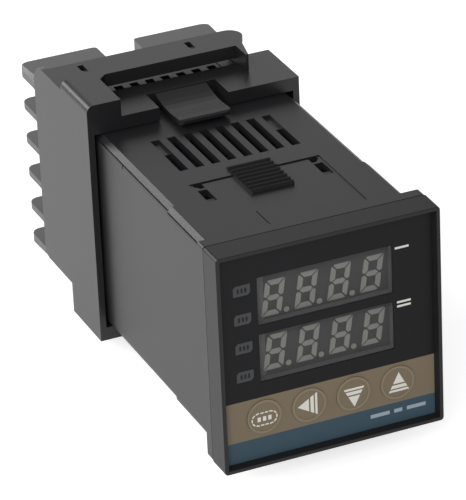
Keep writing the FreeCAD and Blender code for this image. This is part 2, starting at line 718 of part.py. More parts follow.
def board_spacer():
    back_y, half_bar, half_post = SPACER_Y + SPACER_DEPTH, SPACER_BAR / 2, SPACER_DEPTH / 2
    bars = [box(-BOARD_FACE_X, BOARD_FACE_X, SPACER_Y, back_y, z - half_bar, z + half_bar)
            for z in (-SPACER_BAR_Z, SPACER_BAR_Z)]
    post = box(-half_post, half_post, SPACER_Y, back_y, -SPACER_BAR_Z, SPACER_BAR_Z)
    return add(post, bars)


CORE_START_X = CORE_LIFT - BOARD_FACE_X
CORE_END_Y = CORE_START_Y + CORE_LENGTH
CORE_MIDDLE_Y = CORE_START_Y + CORE_LENGTH / 2
CORE_LEG_ENDS_Y = (CORE_MIDDLE_Y - CORE_LEG / 2, CORE_MIDDLE_Y + CORE_LEG / 2)


def transformer_core():
    core = box(CORE_START_X, CORE_END_X, CORE_START_Y, CORE_END_Y, -CORE_HALF_Z, CORE_HALF_Z)
    window_half = CORE_HALF_Z - CORE_BAR
    leg_start, leg_end = CORE_LEG_ENDS_Y
    spans = ((CORE_START_Y + CORE_OUTER_LEG, leg_start), (leg_end, CORE_END_Y - CORE_OUTER_LEG))
    windows = [box(CORE_START_X - 1, CORE_END_X + 1, y0, y1, -window_half, window_half) for y0, y1 in spans]
    return take(core, windows)


def transformer_winding():
    half = CORE_HALF_Z - CORE_BAR - COIL_GAP
    start_y, end_y = CORE_START_Y + CORE_OUTER_LEG + 2 * COIL_GAP, CORE_END_Y - CORE_OUTER_LEG - 2 * COIL_GAP
    coil = box(-BOARD_FACE_X, COIL_END_X, start_y, end_y, -half, half)
    coil = cut_edges(coil, COIL_CORNER, lambda e: runs_along(e, (0, 0, 1)))
    leg_start, leg_end = CORE_LEG_ENDS_Y
    return take(coil, [box(CORE_START_X, CORE_END_X, leg_start, leg_end, -half - 1, half + 1)])


def heat_sink():
    start_x, fin_y = -BOARD_FACE_X, SINK_Y + SINK_PLATE
    plate = box(start_x, SINK_END_X, SINK_Y, fin_y, -SINK_HALF_Z, SINK_HALF_Z)
    pitch = (SINK_END_X - start_x - 1.4 * SINK_FIN) / SINK_FINS
    fins = []
    for index in range(SINK_FINS):
        x = start_x + SINK_FIN + pitch * index
        fins.append(box(x, x + SINK_FIN, fin_y, fin_y + SINK_FIN_LENGTH, -SINK_HALF_Z, SINK_HALF_Z))
    return add(plate, fins)


def power_transistor():
    start_x, tab_y = TRANSISTOR_LIFT - BOARD_FACE_X, SINK_Y - TRANSISTOR_TAB
    low_z, case_z, high_z = TRANSISTOR_Z
    tab = box(start_x, SINK_END_X, tab_y, SINK_Y, low_z, high_z)
    case = box(start_x, SINK_END_X, tab_y - TRANSISTOR_DEPTH, tab_y, low_z, case_z)
    return add(tab, [case])


def filter_capacitors():
    rows = (CAN_ROW_Y, CAN_ROW_Y, CAN_ROW_Y + CAN_STEP)
    return Part.makeCompound([rod_x(y, z, r, -BOARD_FACE_X, end_x, CAN_SIDES)
                              for y, z, r, end_x in zip(rows, CAN_Z, CAN_RADII, CAN_END_X)])


def output_relay():
    y, z = RELAY_START_Y, RELAY_LOW_Z
    body = box(RELAY_START_X, BOARD_FACE_X, y, y + RELAY_LENGTH, z, z + RELAY_HEIGHT)
    return cut_edges(body, RELAY_EDGE, lambda e: runs_along(e, (1, 0, 0)))


def processor():
    half, top_x = CHIP_SIZE / 2, BOARD_FACE_X - CHIP_THICKNESS
    chip = box(top_x, BOARD_FACE_X, CHIP_START_Y, CHIP_START_Y + CHIP_SIZE, -half, half)
    dot = rod_x(CHIP_START_Y + CHIP_DOT_INSET, half - CHIP_DOT_INSET, CHIP_DOT_RADIUS,
                top_x - 1, top_x + CHIP_THICKNESS / 2, SMALL_SIDES)
    return take(chip, [dot])


# Terminal block

def bay_centres():
    end_z = BLOCK_HALF_Z - END_FIN_THICKNESS - END_BAY_HEIGHT / 2
    return [z - BLOCK_DROP for z in (end_z, FIN_PITCH, 0.0, -FIN_PITCH, -end_z)]


def all_bays():
    return [(side, side * SCREW_X, z) for side in (-1, 1) for z in bay_centres()]


def fin_plan(side):
    r = FIN_CORNER
    corner = arc_points(BLOCK_HALF_X - r, DEPTH_BEHIND - r, r, 0, 90, 4)
    start_y = BLOCK_FLOOR_Y - 0.5
    inner = arc_points(COLUMN_INNER_X + FIN_INNER_CORNER, DEPTH_BEHIND - FIN_INNER_CORNER, FIN_INNER_CORNER,
                       90, 180, 3)
    points = [(COLUMN_INNER_X, start_y), (BLOCK_HALF_X, start_y)] + corner + inner
    return [(side * x, y) for x, y in points]


def contact_slot(side, z):
    half, gap = BLADE_HALF_HEIGHT + SEAT_GAP, SEAT_GAP
    inner = BOARD_FACE_X - CONTACT_THICKNESS
    return side_box(side, inner - gap, BOARD_FACE_X + gap, BLADE_SLOT_Y, BLOCK_FLOOR_Y, z - half, z + half)


def corner_bevel(side, up):
    x, z = side * BLOCK_HALF_X, up * BLOCK_HALF_Z - BLOCK_DROP
    sections = []
    for (along, down), y in ((CORNER_NEAR, BODY_LENGTH - 0.01), (CORNER_FAR, DEPTH_BEHIND + 0.01)):
        points = [(x + side, z + up), (x - side * along, z + up), (x - side * along, z),
                  (x, z - up * down), (x + side, z - up * down)]
        sections.append((points, y))
    return loft(sections)


def terminal_block():
    half_x, low_z, top_z = BLOCK_HALF_X, -BLOCK_HALF_Z - BLOCK_DROP, BLOCK_HALF_Z - BLOCK_DROP
    base = box(-half_x, half_x, BODY_LENGTH, BLOCK_FLOOR_Y, low_z, top_z)
    plug = square(SKIRT_HALF, BODY_LENGTH - PLUG_LENGTH, BODY_LENGTH)
    plug = take(plug, [square(SKIRT_HALF - PLUG_WALL, 0, BODY_LENGTH)])
    wall_end_x = COLUMN_INNER_X + INNER_WALL
    pieces = [plug]
    for side in (-1, 1):
        pieces.append(side_box(side, COLUMN_INNER_X, wall_end_x, BLOCK_FLOOR_Y,
                               DEPTH_BEHIND - FIN_INNER_CORNER, low_z, top_z))
        plan = fin_plan(side)
        for step in (-1.5, -0.5, 0.5, 1.5):
            z = step * FIN_PITCH - BLOCK_DROP
            pieces.append(prism_z(plan, z - FIN_THICKNESS / 2, z + FIN_THICKNESS / 2))
        pieces.append(prism_z(plan, top_z - END_FIN_THICKNESS, top_z))
        pieces.append(prism_z(plan, low_z, low_z + END_FIN_THICKNESS))
    block = add(base, pieces)
    cuts = [corner_bevel(side, up) for side in (-1, 1) for up in (-1, 1)]
    hole_y = BLOCK_FLOOR_Y - SCREW_DEPTH - 0.4
    for side, x, z in all_bays():
        cuts.append(rod_y(x, z, SCREW_RADIUS + SEAT_GAP, hole_y, BLOCK_FLOOR_Y + 1, SCREW_SIDES))
        cuts.append(contact_slot(side, z))
    return take(block, cuts)


def terminal_contacts():
    contacts = []
    half, blade_x = CONTACT_HEIGHT / 2, BOARD_FACE_X - CONTACT_THICKNESS
    for side, x, z in all_bays():
        hole = rod_y(x, z, SCREW_RADIUS + SEAT_GAP, BLOCK_FLOOR_Y - 1, CLAMP_Y + 1, SCREW_SIDES)
        plate = side_box(side, SCREW_X - CONTACT_REACH, BOARD_FACE_X, BLOCK_FLOOR_Y, CLAMP_Y,
                         z - half, z + half)
        blade = side_box(side, blade_x, BOARD_FACE_X, BLADE_START_Y, BLOCK_FLOOR_Y,
                         z - BLADE_HALF_HEIGHT, z + BLADE_HALF_HEIGHT)
        contacts.append(add(take(plate, [hole]), [blade]))
    return Part.makeCompound(contacts)


def terminal_washers():
    washers = []
    half = CLAMP_SIZE / 2
    for side, x, z in all_bays():
        washer = box(x - half, x + half, CLAMP_Y, HEAD_Y, z - half, z + half)
        hole = rod_y(x, z, SCREW_RADIUS + SEAT_GAP, CLAMP_Y - 1, HEAD_Y + 1, SCREW_SIDES)
        washers.append(take(washer, [hole]))
    return Part.makeCompound(washers)


def terminal_screws():
    screws = []
    top_y = HEAD_Y + SCREW_HEAD_HEIGHT
    floor_y = top_y - CROSS_DEPTH
    long, narrow = CROSS_HALF, CROSS_HALF_WIDTH
    for side, x, z in all_bays():
        head = rod_y(x, z, SCREW_HEAD_RADIUS, HEAD_Y, top_y, SCREW_HEAD_SIDES)
        shank = rod_y(x, z, SCREW_RADIUS, BLOCK_FLOOR_Y - SCREW_DEPTH, HEAD_Y, SCREW_SIDES)
        cross = [box(x - long, x + long, floor_y, top_y + 1, z - narrow, z + narrow),
                 box(x - narrow, x + narrow, floor_y, top_y + 1, z - long, z + long)]
        screws.append(take(head.fuse(shank), cross))
    return Part.makeCompound(screws)


# Mounting collar

def collar_left_wall():
    points = [(COLLAR_FRONT_Y, -LOW_Z), (COLLAR_FRONT_Y, SHELF_Z)]
    points += arc_points(ARM_BACK_Y - ARM_TOP_CORNER, SHELF_Z - ARM_TOP_CORNER, ARM_TOP_CORNER, 90, 0, 6)
    points += arc_points(ARM_BACK_Y - ARM_LOW_CORNER, ARM_LOW_Z + ARM_LOW_CORNER, ARM_LOW_CORNER, 0, -90, 3)
    points += [(HEEL_BACK_Y, ARM_LOW_Z), (HEEL_BACK_Y, -LOW_Z)]
    return prism_x(points, -COLLAR_HALF_X, -INNER_HALF)


def collar_ring():
    outer = box(-COLLAR_HALF_X, COLLAR_HALF_X, COLLAR_FRONT_Y, RING_BACK_Y, -LOW_Z, LOW_Z)
    return take(outer, [square(INNER_HALF, COLLAR_FRONT_Y - 1, RING_BACK_Y + 1)])


def raised_corner():
    body = box(-COLLAR_HALF_X, BLOCK_EDGE_X, COLLAR_FRONT_Y, SHELF_FRONT_Y, INNER_HALF + 0.5, RAISED_Z)
    return round_edges(body, RAISED_CORNER, lambda e: runs_along(e, (0, 1, 0))
                       and abs(e.CenterOfMass.x + COLLAR_HALF_X) < 1e-6
                       and abs(e.CenterOfMass.z - RAISED_Z) < 1e-6)


def bridge():
    lower_z = RAISED_Z - BRIDGE_HEIGHT
    back_y, start_y = SHELF_FRONT_Y + 0.4, BRIDGE_FRONT_Y - BRIDGE_CORNER
    bar = box(BLOCK_EDGE_X - 1, BRIDGE_END_X + 0.5, BRIDGE_FRONT_Y, back_y, lower_z, RAISED_Z)
    corner_x = BLOCK_EDGE_X + BRIDGE_CORNER
    corner = prism_z([(BLOCK_EDGE_X - 0.5, start_y), (BLOCK_EDGE_X, start_y), (corner_x, BRIDGE_FRONT_Y),
                      (corner_x, BRIDGE_FRONT_Y + 0.5), (BLOCK_EDGE_X - 0.5, BRIDGE_FRONT_Y + 0.5)],
                     lower_z, RAISED_Z)
    tip_y, outer_x = BRIDGE_FRONT_Y - GUSSET_LENGTH, BRIDGE_END_X + GUSSET_WIDTH
    gusset = prism_z([(BRIDGE_END_X, tip_y), (BRIDGE_END_X + GUSSET_TIP, tip_y), (outer_x, SHELF_FRONT_Y),
                      (outer_x, back_y), (BRIDGE_END_X, back_y)], LOW_Z - 0.4, RAISED_Z)
    return [bar, corner, gusset]


def rear_shelf():
    lug = arc_points(BRIDGE_END_X + LUG_REACH, SHELF_BACK_Y - LUG_RADIUS, LUG_RADIUS, -60, 90, 8)
    start_y = SHELF_FRONT_Y - 0.5
    points = [(-COLLAR_HALF_X, start_y), (BRIDGE_END_X + GUSSET_WIDTH, start_y)]
    plate = prism_z(points + lug + [(-COLLAR_HALF_X, SHELF_BACK_Y)], SHELF_Z - SHELF_THICKNESS, SHELF_Z)
    width, length = LATCH_HOLE
    holes = [box(x, x + width, LATCH_HOLE_Y, LATCH_HOLE_Y + length, 0, SHELF_Z + 1) for x in LATCH_HOLES_X]
    return take(plate, holes)


def low_block_heel():
    web_x, web_y = HEEL_X - HEEL_WEB, SHELF_BACK_Y - LUG_RADIUS
    points = [(HEEL_START_X, RING_BACK_Y - 0.5), (HEEL_START_X, RING_BACK_Y), (web_x, HEEL_BACK_Y - 1.2),
              (web_x, web_y), (HEEL_X, web_y),
              (HEEL_X, HEEL_BACK_Y), (COLLAR_HALF_X, HEEL_BACK_Y), (COLLAR_HALF_X, RING_BACK_Y - 0.5)]
    web = box(web_x, HEEL_X, HEEL_BACK_Y - 1.2, web_y, INNER_HALF, SHELF_Z - SHELF_THICKNESS + 0.2)
    return add(prism_z(points, INNER_HALF, LOW_Z), [web])


def tongue_gap():
    half = TONGUE_HALF_WIDTH + TONGUE_GAP
    return box(-half, half, COLLAR_FRONT_Y - 1, TONGUE_ROOT_Y, INNER_HALF - 1, LOW_Z + 1)


def rack_channel():
    half = RACK_HALF_WIDTH + CHANNEL_SIDE
    return box(-half, half, COLLAR_FRONT_Y - 1, RING_BACK_Y + 1, INNER_HALF - 1, RACK_TOP_Z + RACK_GAP)


def tongue():
    under = RACK_TOP_Z + RACK_GAP
    root_y, root_z = TONGUE_ROOT_Y + 0.5, LOW_Z - 0.05
    tip_y, lip_y, lip_z = TONGUE_TIP_Y, TONGUE_TIP_Y + 1.6, under + TONGUE_LIP
    points = [(root_y, root_z), (root_y, under + 0.1), (tip_y + 5, under + 0.25)]
    for tooth in range(TONGUE_TEETH):
        y = tip_y + 3.2 - tooth * RACK_PITCH
        points += [(y + 1.2, under + 0.25), (y + 0.4, under), (y, under + 0.25)]
    points += [(tip_y + 0.4, under + 0.1), (tip_y, under + 0.35), (tip_y, lip_z - 0.35),
               (tip_y + 0.5, lip_z - 0.05), (lip_y, lip_z)]
    steps = 7
    for step in range(1, steps):
        part = step / steps
        sag = TONGUE_SAG * math.sin(math.pi * part)
        points.append((lip_y + (root_y - lip_y) * part, lip_z + (root_z - lip_z) * part - sag))
    half, corner = TONGUE_HALF_WIDTH, TONGUE_CORNER
    cuts = []
    for side in (-1, 1):
        wedge = [(half + 1, tip_y - 1), (half - corner, tip_y - 1), (half - corner, tip_y),
                 (half - 0.3 * corner, tip_y + 0.3 * corner), (half, tip_y + corner),
                 (half + 1, tip_y + corner)]
        cuts.append(prism_z([(side * x, y) for x, y in wedge], under - 1, LOW_Z + 1))
    return take(prism_x(points, -half, half), cuts)


def mounting_bracket():
    top_parts = [raised_corner(), rear_shelf(), low_block_heel(), collar_left_wall()] + bridge()
    ring = take(collar_ring(), both_sides([tongue_gap(), rack_channel()]))
    return add(ring, both_sides(top_parts + [tongue()]))


def main():
    os.makedirs("parts", exist_ok=True)
    save("housing", housing())
    save("terminal_block", terminal_block())
    save("terminal_contacts", terminal_contacts())
    save("terminal_washers", terminal_washers())
    save("terminal_screws", terminal_screws())
    save("front_bezel", front_bezel())
    save("front_overlay", front_overlay())
    save("window_lenses", window_lenses())
    save("indicator_lenses", indicator_lenses())
    save("light_guides", light_guides())
    save("indicator_lamps", indicator_lamps())
    save("upper_display", display_module(UPPER_WINDOW_Z))
    save("lower_display", display_module(LOWER_WINDOW_Z))
    save("upper_segments", display_segments(UPPER_WINDOW_Z - UPPER_DIGIT_DROP))
    save("lower_segments", display_segments(LOWER_WINDOW_Z - LOWER_DIGIT_DROP))
    save("display_board", square(DISPLAY_BOARD_HALF, DISPLAY_BOARD_Y, BOARD_START_Y))
    save("switch_bases", switch_bases())
    for index, name in enumerate(KEY_NAMES):
        save("key_" + name, key_cap(index))
        save("plunger_" + name, switch_plunger(index))
    save("power_board", side_board(-1))
    save("control_board", side_board(1))
    save("board_headers", board_headers())
    save("board_spacer", board_spacer())
    save("transformer_core", transformer_core())
    save("transformer_winding", transformer_winding())
    save("heat_sink", heat_sink())
    save("power_transistor", power_transistor())
    save("filter_capacitors", filter_capacitors())
    save("output_relay", output_relay())
    save("processor", processor())
    save("mounting_bracket", mounting_bracket())


main()
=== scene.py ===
# %% [markdown]
# # A temperature controller, dressed for its portrait
# The case, collar, keys and terminals come in as finished solids. This lesson gives each one the finish of
# the real thing, adds the print on the front and sets up a plain studio like the one in the photograph.

# %% Start from the solids
import math

import bmesh
import bpy
from mathutils import Matrix, Vector


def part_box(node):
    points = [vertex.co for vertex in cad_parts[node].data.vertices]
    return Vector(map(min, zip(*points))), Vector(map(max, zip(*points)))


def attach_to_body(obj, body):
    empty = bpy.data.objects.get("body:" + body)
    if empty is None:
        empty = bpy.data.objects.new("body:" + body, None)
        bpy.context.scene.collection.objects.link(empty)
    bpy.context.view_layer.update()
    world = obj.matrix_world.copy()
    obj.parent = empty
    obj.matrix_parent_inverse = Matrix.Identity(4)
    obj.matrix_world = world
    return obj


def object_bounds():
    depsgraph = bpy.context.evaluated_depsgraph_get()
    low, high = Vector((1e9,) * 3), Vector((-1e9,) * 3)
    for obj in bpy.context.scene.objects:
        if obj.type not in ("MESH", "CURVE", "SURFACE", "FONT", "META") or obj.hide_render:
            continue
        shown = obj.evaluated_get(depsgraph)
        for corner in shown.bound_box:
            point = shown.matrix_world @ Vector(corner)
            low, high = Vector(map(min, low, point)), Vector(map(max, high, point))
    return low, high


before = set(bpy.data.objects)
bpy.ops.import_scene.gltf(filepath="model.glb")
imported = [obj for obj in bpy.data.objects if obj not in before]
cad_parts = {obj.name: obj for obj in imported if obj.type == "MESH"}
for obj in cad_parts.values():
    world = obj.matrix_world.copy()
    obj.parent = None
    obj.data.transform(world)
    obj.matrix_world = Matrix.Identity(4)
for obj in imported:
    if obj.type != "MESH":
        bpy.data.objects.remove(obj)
solid_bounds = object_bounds()
MM = 0.001

# %% [markdown]
# Colours are written as sRGB hex values, the way a paint chart gives them. Blender wants linear light, so
# one function turns them over. A second small function adds a shader or geometry node with its settings,
# and links any input that is given as another node's socket.


# %% Colour and node helpers
def linear(hex_value):
    channels = [int(hex_value[i:i + 2], 16) / 255 for i in (1, 3, 5)]
    return tuple(c / 12.92 if c <= 0.04045 else ((c + 0.055) / 1.055) ** 2.4 for c in channels) + (1.0,)


def add_node(tree, kind, inputs=None, **settings):
    node = tree.nodes.new(kind)
    for name, value in settings.items():
        setattr(node, name, value)
    for name, value in (inputs or {}).items():
        socket = node.inputs[name]
        if isinstance(value, bpy.types.NodeSocket):
            tree.links.new(value, socket)
        else:
            socket.default_value = value
    return node


def new_material(name):
    material = bpy.data.materials.new(name)
    material.use_nodes = True
    material.node_tree.nodes.clear()
    return material


def finish_material(material, colour, roughness, normal=None, **fixed):
    tree = material.node_tree
    inputs = {"Base Color": colour, "Roughness": roughness}
    if normal is not None:
        inputs["Normal"] = normal
    inputs.update({name.replace("_", " "): value for name, value in fixed.items()})
    shader = add_node(tree, "ShaderNodeBsdfPrincipled", inputs)
    add_node(tree, "ShaderNodeOutputMaterial", {"Surface": shader.outputs["BSDF"]})
    return material


print("white is", linear("#ffffff"))

# %% [markdown]
# Most of this product is injection-moulded plastic. The tool that moulds it is spark-eroded, which leaves a
# fine even grain of about a tenth of a millimetre. The grain itself is too small to see here, so it is drawn
# a little coarser, and it shows as a slight unevenness of the sheen. Dark plastic gets most of its grey from
# that sheen, at a glancing angle. Where one moulding has a patch of another roughness, with a colour of
# painted shade or painted light, a mask made from ranges of X, Y and Z picks the patch, so the solid keeps
# its single material.


# %% Moulded plastic
def mask_between(tree, place, ranges):
    axes = add_node(tree, "ShaderNodeSeparateXYZ", {"Vector": place}).outputs
    mask = 1.0
    for axis, mirrored, low, high in ranges:
        value = axes[axis]
        if mirrored:
            value = add_node(tree, "ShaderNodeMath", {0: value}, operation="ABSOLUTE").outputs[0]
        for limit, side in ((low, "GREATER_THAN"), (high, "LESS_THAN")):
            test = add_node(tree, "ShaderNodeMath", {0: value, 1: limit}, operation=side)
            both = add_node(tree, "ShaderNodeMath", {0: test.outputs[0], 1: mask}, operation="MULTIPLY")
            mask = both.outputs[0]
    return mask


def two_colours(tree, mask, outside, inside):
    colour = add_node(tree, "ShaderNodeMix", {0: mask}, data_type="RGBA")
    colour.inputs[6].default_value = linear(outside)
    colour.inputs[7].default_value = linear(inside)
    return colour.outputs[2]


def moulded(name, hex_value, roughness, grain_mm, relief_mm, patch=None, **fixed):
    material = new_material(name)
    tree = material.node_tree
    place = add_node(tree, "ShaderNodeTexCoord").outputs["Object"]
    grain = add_node(tree, "ShaderNodeTexNoise",
                     {"Vector": place, "Scale": 1 / (grain_mm * MM), "Detail": 2.0, "Roughness": 0.6})
    bump = add_node(tree, "ShaderNodeBump",
                    {"Height": grain.outputs["Fac"], "Distance": relief_mm * MM, "Strength": 0.35})
    colour = linear(hex_value)
    if patch:
        patch_hex, patch_roughness, ranges = patch
        mask = mask_between(tree, place, ranges)
        colour = two_colours(tree, mask, hex_value, patch_hex)
        between = add_node(tree, "ShaderNodeMapRange",
                           {"Value": mask, "To Min": roughness, "To Max": patch_roughness})
        roughness = between.outputs["Result"]
    return finish_material(material, colour, roughness, bump.outputs["Normal"], **fixed)


# The collar is polished a little smoother than the case. The block is a harder and paler plastic, and its
# sheen is the strongest of the three.
collar_plastic = moulded("satin_black_polycarbonate", "#1b1b1d", 0.34, 0.34, 0.03, IOR=1.45)
block_plastic = moulded("black_PBT_terminal_moulding", "#404042", 0.40, 0.30, 0.03, IOR=1.7)
inner_plastic = moulded("dark_nylon", "#26262a", 0.5, 0.4, 0.03)
print("plastics", collar_plastic.name, block_plastic.name, inner_plastic.name)

# %% [markdown]
# The case and its front frame are one plastic, and each has a patch. The teeth of the ratchet racks are cut
# sharper than the rest and are drawn rougher, and their darker colour is painted shade between the teeth.
# The frame's window openings are painted grey like the faces of the displays and a little lighter, which is
# painted light: it takes the shade out of the openings' walls.

# %% Case and front frame
SHEET_LOW, SHEET_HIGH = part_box("front_overlay")
CASE_LOW, CASE_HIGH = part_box("housing")
# The paler greys for the ends of the display faces and for the window openings are painted light.
GREY_PAINT, EDGE_PAINTED_LIGHT, OPENING_PAINTED_LIGHT = "#575758", "#747475", "#7a7a7c"
RACK_HALF_WIDTH, RACK_FOOT = 4.7 * MM, 22.22 * MM
RACK_START, RACK_END = 16.9 * MM, 30.6 * MM
PAINT_BEHIND_SHEET = 0.3 * MM
ANYWHERE = 1.0

# The rack patch is rougher, and its darker colour is painted shade between the teeth.
rack = ("#08080a", 0.8, (("X", True, -ANYWHERE, RACK_HALF_WIDTH), ("Y", False, RACK_START, RACK_END),
                         ("Z", True, RACK_FOOT, ANYWHERE)))
case_plastic = moulded("spark_grained_black_ABS", "#1d1d1f", 0.38, 0.30, 0.03, rack, IOR=1.42)
# The openings' walls get a grey lighter than the display faces: painted light in place of the shade inside
# the openings.
openings = (OPENING_PAINTED_LIGHT, 0.42, (("X", True, -ANYWHERE, SHEET_HIGH[0]),
                                  ("Z", True, -ANYWHERE, SHEET_HIGH[2]),
                                  ("Y", False, SHEET_LOW[1] + PAINT_BEHIND_SHEET, 0.0)))
frame_plastic = moulded("spark_grained_black_ABS_frame", "#1c1c1e", 0.42, 0.30, 0.03, openings, IOR=1.35)
print("racks from", round(RACK_START / MM, 1), "to", round(RACK_END / MM, 1), "mm")

# %% [markdown]
# The front sheet is thin polyester, screen-printed from behind in flat fields: black, a sand-coloured band
# under the keys and a narrow blue band below it. A colour ramp with hard steps along Z gives exactly that,
# with no image. The sheet is embossed over each key, and its raised rim is coloured a shade lighter as a
# painted highlight.

# %% Printed sheet
BLUE_TOP = -18.3 * MM
SAND_TOP = -9.4 * MM
BLACK_INK, SAND_INK, BLUE_INK = "#19191b", "#7a6e5c", "#3b4f5b"
RIM_PAINTED_HIGHLIGHT = "#867a66"
KEY_RING_PROUD = 0.12 * MM


def printed_sheet_material():
    material = new_material("screen_printed_polyester")
    tree = material.node_tree
    place = add_node(tree, "ShaderNodeTexCoord").outputs["Object"]
    height = add_node(tree, "ShaderNodeSeparateXYZ", {"Vector": place}).outputs["Z"]
    share = add_node(tree, "ShaderNodeMapRange",
                     {"Value": height, "From Min": SHEET_LOW[2], "From Max": SHEET_HIGH[2]})
    fields = add_node(tree, "ShaderNodeValToRGB", {"Fac": share.outputs["Result"]})
    ramp = fields.color_ramp
    ramp.interpolation = "CONSTANT"
    span = SHEET_HIGH[2] - SHEET_LOW[2]
    ramp.elements[0].color = linear(BLUE_INK)
    ramp.elements[1].position = (BLUE_TOP - SHEET_LOW[2]) / span
    ramp.elements[1].color = linear(SAND_INK)
    ramp.elements.new((SAND_TOP - SHEET_LOW[2]) / span).color = linear(BLACK_INK)
    return finish_material(material, fields.outputs["Color"], 0.4, IOR=1.22)


def key_sheet_material():
    material = new_material("embossed_polyester_key")
    tree = material.node_tree
    place = add_node(tree, "ShaderNodeTexCoord").outputs["Object"]
    rim_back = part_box("key_set")[0][1] + KEY_RING_PROUD / 2
    # The raised rim's lighter colour is a painted highlight.
    rim = mask_between(tree, place, (("Y", False, -ANYWHERE, rim_back),))
    return finish_material(material, two_colours(tree, rim, SAND_INK, RIM_PAINTED_HIGHLIGHT), 0.4, IOR=1.22)


printed_sheet = printed_sheet_material()
key_sheet = key_sheet_material()
white_ink = finish_material(new_material("white_screen_ink"), linear("#dad8d0"), 0.5)
dark_ink = finish_material(new_material("dark_screen_ink"), linear("#222224"), 0.5, IOR=1.22)
pale_ink = finish_material(new_material("pale_blue_screen_ink"), linear("#93a2ae"), 0.5)
grey_ink = finish_material(new_material("grey_window_film"), linear("#404244"), 0.4, IOR=1.3)
print("sheet from", round(SHEET_LOW[2] / MM, 1), "to", round(SHEET_HIGH[2] / MM, 1), "mm")

# %% [markdown]
# The display windows are clear acrylic with a smoke tint. It is drawn as a partly see-through skin, which
# keeps the digits behind it crisp. The digits are unlit: milky diffusers in a grey-painted face. The face's
# ends outside the digits are paler: painted light, lifting the shade that the window's edges cast there.

# %% Displays and windows
PALE_INSIDE, PALE_OUTSIDE = 0.6 * MM, 0.9 * MM
SMOKE = 0.15


def display_face_material():
    material = new_material("grey_painted_display_face")
    tree = material.node_tree
    place = add_node(tree, "ShaderNodeTexCoord").outputs["Object"]
    low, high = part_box("upper_segments")
    # The face's ends outside the digits get the paler grey: painted light over the shade that the window's
    # edges cast there.
    painted = mask_between(tree, place, (("X", False, low[0] + PALE_INSIDE, high[0] + PALE_OUTSIDE),))
    return finish_material(material, two_colours(tree, painted, EDGE_PAINTED_LIGHT, GREY_PAINT), 0.55, IOR=1.3)


display_face = display_face_material()
smoked = finish_material(new_material("smoked_acrylic"), linear("#3c3c3c"), 0.3, Alpha=SMOKE, IOR=1.3)
diffuser = finish_material(new_material("milky_epoxy_diffuser"), linear("#a2a29d"), 0.4)
clear_guide = finish_material(new_material("clear_acrylic_guide"), linear("#d8dadb"), 0.15)
print("window alpha", SMOKE)

# %% [markdown]
# Behind the slots and bays lie the metal and board finishes. Bright zinc and tin plate on the terminals,
# green lacquer on the boards, enamelled wire on the transformer.

# %% Metals and boards
plated_steel = finish_material(new_material("zinc_plated_steel"), linear("#c6c6c2"), 0.3, Metallic=1.0)
tinned_brass = finish_material(new_material("tinned_brass"), linear("#cfc8ae"), 0.32, Metallic=1.0)
core_steel = finish_material(new_material("laminated_silicon_steel"), linear("#77787c"), 0.5, Metallic=1.0)
sink_metal = finish_material(new_material("extruded_aluminium"), linear("#b9babd"), 0.4, Metallic=1.0)
can_sleeve = finish_material(new_material("capacitor_sleeve"), linear("#2b3350"), 0.35)
enamel_wire = finish_material(new_material("enamelled_copper_wire"), linear("#a5622f"), 0.35, Metallic=1.0)
board_green = finish_material(new_material("green_solder_lacquer"), linear("#1d5a36"), 0.35)
solder = finish_material(new_material("solder_joint"), linear("#b4b6b8"), 0.3, Metallic=1.0)
print("metals and boards ready")

# %% [markdown]
# Every solid gets its finish through its material slots, so the solids themselves stay as they were built.
# A table from finish to solids keeps that in one place, and a last line tells if one was forgotten.

# %% Paint every solid
FINISHES = {
    case_plastic: ["housing"],
    frame_plastic: ["front_bezel"],
    collar_plastic: ["mounting_bracket"],
    block_plastic: ["terminal_block"],
    printed_sheet: ["front_overlay"],
    smoked: ["window_lenses"],
    grey_ink: ["indicator_lenses"],
    key_sheet: ["key_set", "key_shift", "key_down", "key_up"],
    display_face: ["upper_display", "lower_display"],
    diffuser: ["upper_segments", "lower_segments", "indicator_lamps"],
    clear_guide: ["light_guides"],
    inner_plastic: ["plunger_set", "plunger_shift", "plunger_down", "plunger_up", "switch_bases",
                    "board_headers", "board_spacer", "output_relay", "power_transistor", "processor"],
    board_green: ["display_board", "power_board", "control_board"],
    core_steel: ["transformer_core"],
    enamel_wire: ["transformer_winding"],
    sink_metal: ["heat_sink"],
    can_sleeve: ["filter_capacitors"],
    tinned_brass: ["terminal_contacts"],
    plated_steel: ["terminal_screws", "terminal_washers"],
}
for material, names in FINISHES.items():
    for name in names:
        for material_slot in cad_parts[name].material_slots:
            material_slot.material = material
unpainted = set(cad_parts) - {n for names in FINISHES.values() for n in names}
print("unpainted nodes:", sorted(unpainted))

# %% [markdown]
# The marks on the front are flat ink shapes, 0.03 mm thick so that they show as ink and catch no light at
# their edges. One function turns outlines into such a piece, and one joins two paths to a ring. A third
# attaches a piece to the body that it moves with.


# %% Flat pieces
def piece_from(name, work, material):
    mesh = bpy.data.meshes.new(name)
    bmesh.ops.recalc_face_normals(work, faces=work.faces)
    work.to_mesh(mesh)
    work.free()
    piece = bpy.data.objects.new(name, mesh)
    bpy.context.scene.collection.objects.link(piece)
    mesh.materials.append(material)
    return piece


def flat_piece(name, outlines, front_y, thickness, material):
    work = bmesh.new()
    for outline in outlines:
        rings = [[work.verts.new((x, y, z)) for x, z in outline] for y in (front_y, front_y + thickness)]
        work.faces.new(rings[0])
        work.faces.new(list(reversed(rings[1])))
        for i in range(len(outline)):
            j = (i + 1) % len(outline)
            work.faces.new([rings[0][i], rings[1][i], rings[1][j], rings[0][j]])
    return piece_from(name, work, material)


